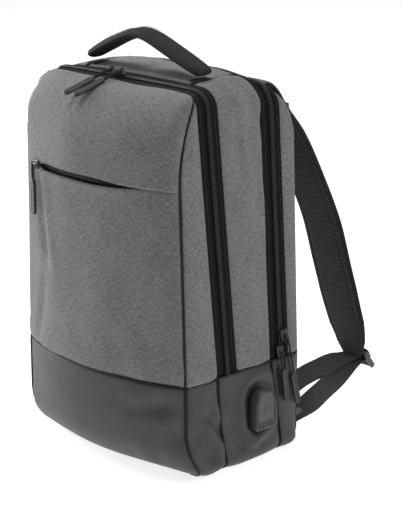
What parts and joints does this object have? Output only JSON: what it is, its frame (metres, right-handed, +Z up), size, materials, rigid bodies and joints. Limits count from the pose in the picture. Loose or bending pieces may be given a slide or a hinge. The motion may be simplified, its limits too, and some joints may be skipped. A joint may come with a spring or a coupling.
{
  "type": "laptop backpack",
  "caption": "Rectangular laptop backpack with a coated base, two U-shaped zips, a zipped front pocket, padded straps, carry handle and side charging port.",
  "frame": {"origin": "on the flat underside of the base, midway between the sides and midway between the fullest point of the front and the back panel", "axes": "+Z up towards the carry handle, -Y out of the front, +Y towards the wearer's back, +X towards the side with the charging port"},
  "size_m": [0.2794, 0.3814, 0.4875],
  "materials": {
    "cloth": "heathered grey polyester",
    "coated": "smooth coated fabric, satin",
    "mesh": "open air mesh over foam",
    "lining": "plain woven lining",
    "zip_tape": "woven tape with a nylon coil",
    "webbing": "flat woven webbing",
    "handle": "padded black fabric",
    "pull_cord": "braided cord",
    "slider_metal": "black painted zip slider",
    "grip": "moulded rubber grip",
    "moulding": "soft moulded hood",
    "socket_metal": "socket shell",
    "buckle": "moulded plastic",
    "stiffener": "thin plastic board"
  },
  "bodies": {
    "pack": {"base_front": "coated", "base_corner_left": "coated", "base_corner_right": "coated", "base_side_left": "coated", "base_side_right": "coated", "base_back_left": "coated", "base_back_right": "coated", "base_bottom": "coated", "base_board": "stiffener", "base_divider": "lining", "back_panel": "mesh", "back_board": "stiffener", "back_pads": "mesh", "back_strip": "cloth", "main_zip_rear_tape": "zip_tape", "laptop_sleeve": "lining", "sleeve_strap": "webbing", "usb_hood": "moulding", "usb_socket": "socket_metal", "strap_tabs": "webbing", "webbing_tabs": "webbing", "main_slider_lower": "slider_metal"},
    "main_front": {"gusset_left": "cloth", "gusset_right": "cloth", "gusset_top": "cloth", "main_zip_front_tape": "zip_tape", "front_zip_rear_tape": "zip_tape", "divider": "lining", "organiser_pocket": "lining", "handle_feet": "handle"},
    "handle_loop": {"carry_handle": "handle"},
    "front_flap": {"front_panel_upper": "cloth", "front_panel_lower": "cloth", "front_strip_left": "cloth", "front_strip_right": "cloth", "front_zip_front_tape": "zip_tape", "pocket_zip_tape": "zip_tape", "front_pocket": "lining"},
    "upper_runner": {"main_slider_upper": "slider_metal"},
    "left_runner": {"front_slider_left": "slider_metal"},
    "right_runner": {"front_slider_right": "slider_metal"},
    "pocket_runner": {"pocket_slider": "slider_metal"},
    "upper_pull": {"main_pull_upper_cord": "pull_cord", "main_pull_upper_grip": "grip"},
    "lower_pull": {"main_pull_lower_cord": "pull_cord", "main_pull_lower_grip": "grip"},
    "left_pull": {"front_pull_left_cord": "pull_cord", "front_pull_left_grip": "grip"},
    "right_pull": {"front_pull_right_cord": "pull_cord", "front_pull_right_grip": "grip"},
    "pocket_pull": {"pocket_pull_cord": "pull_cord", "pocket_pull_grip": "grip"},
    "left_strap": {"shoulder_strap_left": "mesh", "ladder_lock_left": "buckle", "webbing_left": "webbing"},
    "right_strap": {"shoulder_strap_right": "mesh", "ladder_lock_right": "buckle", "webbing_right": "webbing"}
  },
  "joints": [
    {"name": "main_front_fold", "type": "hinge", "parent": "pack", "child": "main_front", "pos_m": [0, -0.105, 0.116], "axis": [1, 0, 0], "range_deg": [0, 35]},
    {"name": "front_flap_fold", "type": "hinge", "parent": "main_front", "child": "front_flap", "pos_m": [0, -0.105, 0.116], "axis": [1, 0, 0], "range_deg": [0, 75]},
    {"name": "handle_lean", "type": "hinge", "parent": "main_front", "child": "handle_loop", "pos_m": [0, -0.003, 0.44], "axis": [1, 0, 0], "range_deg": [-22, 22], "stiffness_Nm_per_rad": 0.08},
    {"name": "upper_slider_run", "type": "slide", "parent": "pack", "child": "upper_runner", "axis": [-0.0356, -0.0272, 0.999], "range_m": [0, 0.25]},
    {"name": "left_slider_run", "type": "slide", "parent": "front_flap", "child": "left_runner", "axis": [-1, 0, 0], "range_m": [0, 0.07]},
    {"name": "right_slider_run", "type": "slide", "parent": "front_flap", "child": "right_runner", "axis": [1, 0, 0], "range_m": [0, 0.1]},
    {"name": "pocket_slider_run", "type": "hinge", "parent": "front_flap", "child": "pocket_runner", "pos_m": [0, 0.20389, 0.332], "axis": [0, 0, 1], "range_deg": [0, 32]},
    {"name": "upper_pull_swing", "type": "hinge", "parent": "upper_runner", "child": "upper_pull", "pos_m": [0.13834, 0.07527, 0.143], "axis": [0, -1, 0], "range_deg": [0, 150]},
    {"name": "lower_pull_swing", "type": "hinge", "parent": "pack", "child": "lower_pull", "pos_m": [0.13898, 0.06875, 0.125], "axis": [0, -1, 0], "range_deg": [0, 150]},
    {"name": "left_pull_swing", "type": "hinge", "parent": "left_runner", "child": "left_pull", "pos_m": [-0.026, -0.03426, 0.44028], "axis": [-1, 0, 0], "range_deg": [0, 100]},
    {"name": "right_pull_swing", "type": "hinge", "parent": "right_runner", "child": "right_pull", "pos_m": [-0.01, -0.03426, 0.44028], "axis": [-1, 0, 0], "range_deg": [0, 100]},
    {"name": "pocket_pull_swing", "type": "hinge", "parent": "pocket_runner", "child": "pocket_pull", "pos_m": [-0.08965, -0.09776, 0.332], "axis": [-0.9586, 0.2849, 0], "range_deg": [0, 150]},
    {"name": "right_strap_swing", "type": "hinge", "parent": "pack", "child": "right_strap", "pos_m": [0.054, 0.107, 0.416], "axis": [-0.1511, -0.023, 0.9883], "range_deg": [-18, 18]},
    {"name": "left_strap_swing", "type": "hinge", "parent": "pack", "child": "left_strap", "pos_m": [-0.054, 0.107, 0.416], "axis": [0.1511, -0.023, 0.9883], "range_deg": [-18, 18]}
  ]
}
